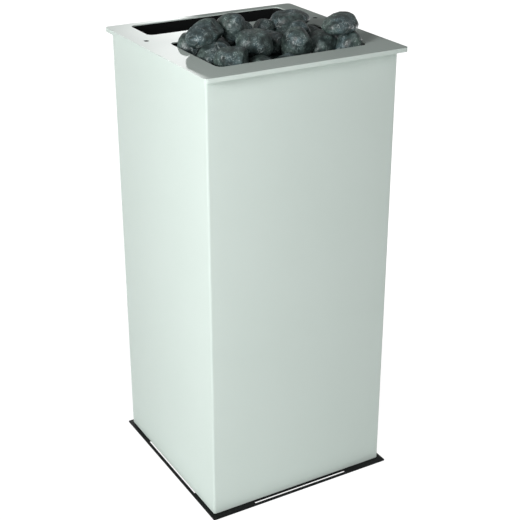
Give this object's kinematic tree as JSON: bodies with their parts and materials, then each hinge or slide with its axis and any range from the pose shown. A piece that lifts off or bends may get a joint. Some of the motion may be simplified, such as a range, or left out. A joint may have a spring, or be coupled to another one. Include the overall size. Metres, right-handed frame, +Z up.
{
  "type": "sauna heater stove",
  "caption": "Floor-standing electric sauna heater: tall square sheet-steel tower with a thin overhanging top plate, an open bin heaped with stones in front and a long warm-air outlet behind.",
  "frame": {"origin": "on the floor, under the middle of the square casing", "axes": "+Z up, front face towards -Y, +X to the right for someone looking at the front"},
  "size_m": [0.371, 0.378, 0.8491],
  "materials": {
    "pale_paint": "satin powder coat, pale grey-green white",
    "black_paint": "matt black stove paint",
    "black_screw": "black-oxide steel",
    "stainless": "mill-finish stainless sheet",
    "zinc_steel": "zinc-coated sheet and angle",
    "element_steel": "heat-darkened alloy tube",
    "ceramic": "unglazed steatite",
    "brass": "turned brass",
    "nylon": "moulded black nylon",
    "stone": "tumbled dark grey-green olivine"
  },
  "bodies": {
    "tower": {"casing": "pale_paint", "rear_panel": "pale_paint", "base_plate": "black_paint", "outlet_duct": "black_paint", "stone_bin": "stainless", "stone_grate": "stainless", "corner_post_front_left": "zinc_steel", "corner_post_front_right": "zinc_steel", "corner_post_rear_left": "zinc_steel", "corner_post_rear_right": "zinc_steel", "bin_rail_left": "zinc_steel", "bin_rail_right": "zinc_steel", "element_rail_left": "zinc_steel", "element_rail_right": "zinc_steel", "heat_shield": "zinc_steel", "element_plate": "zinc_steel", "connection_box": "zinc_steel", "heating_element_front": "element_steel", "heating_element_middle": "element_steel", "heating_element_rear": "element_steel", "terminal_block": "ceramic", "earth_stud": "brass"},
    "plate": {"top_plate": "pale_paint", "top_plate_screw_left": "black_screw", "top_plate_screw_right": "black_screw"},
    "stones": {"stone_01": "stone", "stone_02": "stone", "stone_03": "stone", "stone_04": "stone", "stone_05": "stone", "stone_06": "stone", "stone_07": "stone", "stone_08": "stone", "stone_09": "stone", "stone_10": "stone", "stone_11": "stone", "stone_12": "stone", "stone_13": "stone", "stone_14": "stone", "stone_15": "stone", "stone_16": "stone", "stone_17": "stone", "stone_18": "stone", "stone_19": "stone", "stone_20": "stone", "stone_21": "stone", "stone_22": "stone", "stone_23": "stone", "stone_24": "stone", "stone_25": "stone", "stone_26": "stone", "stone_27": "stone", "stone_28": "stone", "stone_29": "stone", "stone_30": "stone", "stone_31": "stone", "stone_32": "stone"},
    "cover": {"connection_cover": "pale_paint", "cable_gland": "nylon"}
  },
  "joints": [
    {"name": "top_plate_lift", "type": "slide", "parent": "tower", "child": "plate", "axis": [0, 0, 1], "range_m": [0, 0.12]},
    {"name": "stones_lift", "type": "slide", "parent": "tower", "child": "stones", "axis": [0, 0, 1], "range_m": [0, 0.12]},
    {"name": "connection_cover_pull", "type": "slide", "parent": "tower", "child": "cover", "axis": [0, 1, 0], "range_m": [0, 0.05]}
  ]
}
